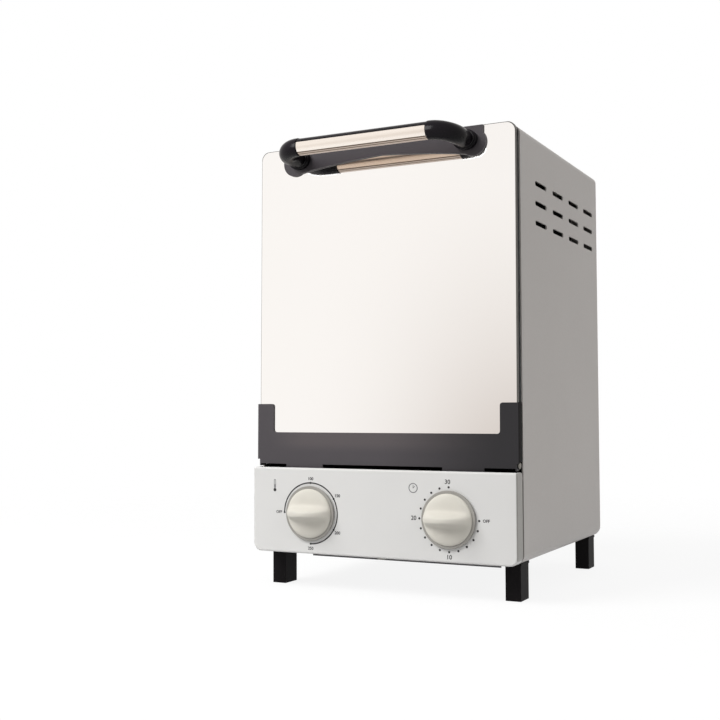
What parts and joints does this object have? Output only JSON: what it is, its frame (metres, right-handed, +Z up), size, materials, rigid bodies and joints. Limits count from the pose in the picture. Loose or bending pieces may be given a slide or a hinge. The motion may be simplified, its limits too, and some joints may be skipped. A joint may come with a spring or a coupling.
{
  "type": "dry heat sterilizer",
  "caption": "Bench dry heat sterilizer: upright steel cabinet with a drop-down mirror door, bar handle, temperature and timer knobs, sliding trays and square feet.",
  "frame": {"origin": "middle of the whole box on the surface under the feet", "axes": "+X to the right seen from the front, +Y from the front to the back, +Z up"},
  "size_m": [0.21, 0.2519, 0.3327],
  "materials": {
    "shell_paint": "fine satin texture paint, warm grey",
    "panel_paint": "satin pale grey paint with printed dial marks",
    "door_mirror": "polished mirror face on tempered glass",
    "dark_paint": "satin dark grey paint",
    "black_plastic": "moulded black phenolic, soft gloss",
    "champagne_metal": "anodised champagne strip, fine long grain",
    "knob_plastic": "moulded cream plastic",
    "foot_plastic": "moulded black plastic",
    "stainless": "brushed stainless sheet",
    "galvanised": "zinc coated sheet",
    "zinc_steel": "bright zinc plated steel",
    "white_ceramic": "unglazed white ceramic",
    "brass": "plain brass and copper",
    "lead_sleeve": "glass fibre sleeving over wire"
  },
  "bodies": {
    "cabinet": {"outer_shell": "shell_paint", "rear_panel": "shell_paint", "control_panel": "panel_paint", "base_plate": "dark_paint", "cord_gland": "black_plastic", "foot_front_left": "foot_plastic", "foot_front_right": "foot_plastic", "foot_rear_left": "foot_plastic", "foot_rear_right": "foot_plastic", "chamber_liner": "stainless", "chamber_back": "stainless", "heater_bottom": "stainless", "heater_top": "stainless", "sensor_clip": "stainless", "front_frame": "galvanised", "timer": "galvanised", "hinge_pin_left": "zinc_steel", "hinge_pin_right": "zinc_steel", "hinge_spring_left": "zinc_steel", "hinge_spring_right": "zinc_steel", "rear_screw_lower_left": "zinc_steel", "rear_screw_lower_right": "zinc_steel", "rear_screw_upper_left": "zinc_steel", "rear_screw_upper_right": "zinc_steel", "foot_screw_front_left": "zinc_steel", "foot_screw_front_right": "zinc_steel", "foot_screw_rear_left": "zinc_steel", "foot_screw_rear_right": "zinc_steel", "panel_screw": "zinc_steel", "heater_bush_bottom_front": "white_ceramic", "heater_bush_bottom_rear": "white_ceramic", "heater_bush_top_front": "white_ceramic", "heater_bush_top_rear": "white_ceramic", "terminal_block": "white_ceramic", "thermostat": "white_ceramic", "timer_bell": "brass", "sensor_bulb": "brass", "lead_supply": "lead_sleeve", "lead_timer_to_thermostat": "lead_sleeve", "lead_heater_feed": "lead_sleeve", "lead_heater_return": "lead_sleeve", "heater_link_front": "lead_sleeve", "heater_link_rear": "lead_sleeve"},
    "door": {"door_pane": "door_mirror", "door_bracket": "dark_paint", "handle_backing_plate": "dark_paint", "handle_grip": "black_plastic", "handle_trim": "champagne_metal", "handle_foot_left": "black_plastic", "handle_foot_right": "black_plastic", "handle_screw_left": "zinc_steel", "handle_screw_right": "zinc_steel"},
    "tray_lower": {"tray_lower": "stainless"},
    "tray_middle": {"tray_middle": "stainless"},
    "tray_upper": {"tray_upper": "stainless"},
    "temperature_knob": {"temperature_knob": "knob_plastic", "thermostat_shaft": "zinc_steel"},
    "timer_knob": {"timer_knob": "knob_plastic", "timer_shaft": "zinc_steel"}
  },
  "joints": [
    {"name": "door_hinge", "type": "hinge", "parent": "cabinet", "child": "door", "pos_m": [0, -0.08752, 0.0942], "axis": [1, 0, 0], "range_deg": [0, 90], "stiffness_Nm_per_rad": 0.3, "springref_deg": -34.38},
    {"name": "temperature_knob_turn", "type": "hinge", "parent": "cabinet", "child": "temperature_knob", "pos_m": [-0.0552, -0.09702, 0.0564], "axis": [0, 1, 0], "range_deg": [0, 270]},
    {"name": "timer_knob_turn", "type": "hinge", "parent": "cabinet", "child": "timer_knob", "pos_m": [0.0552, -0.09702, 0.0564], "axis": [0, 1, 0], "range_deg": [0, 270]},
    {"name": "tray_lower_slide", "type": "slide", "parent": "cabinet", "child": "tray_lower", "axis": [0, -1, 0], "range_m": [0, 0.08]},
    {"name": "tray_middle_slide", "type": "slide", "parent": "cabinet", "child": "tray_middle", "axis": [0, -1, 0], "range_m": [0, 0.08]},
    {"name": "tray_upper_slide", "type": "slide", "parent": "cabinet", "child": "tray_upper", "axis": [0, -1, 0], "range_m": [0, 0.08]}
  ],
  "couplings": [
    {"joint": "tray_lower_slide", "follows": "door_hinge", "m_per_rad": 0.0509},
    {"joint": "tray_middle_slide", "follows": "door_hinge", "m_per_rad": 0.0509},
    {"joint": "tray_upper_slide", "follows": "door_hinge", "m_per_rad": 0.0509}
  ]
}
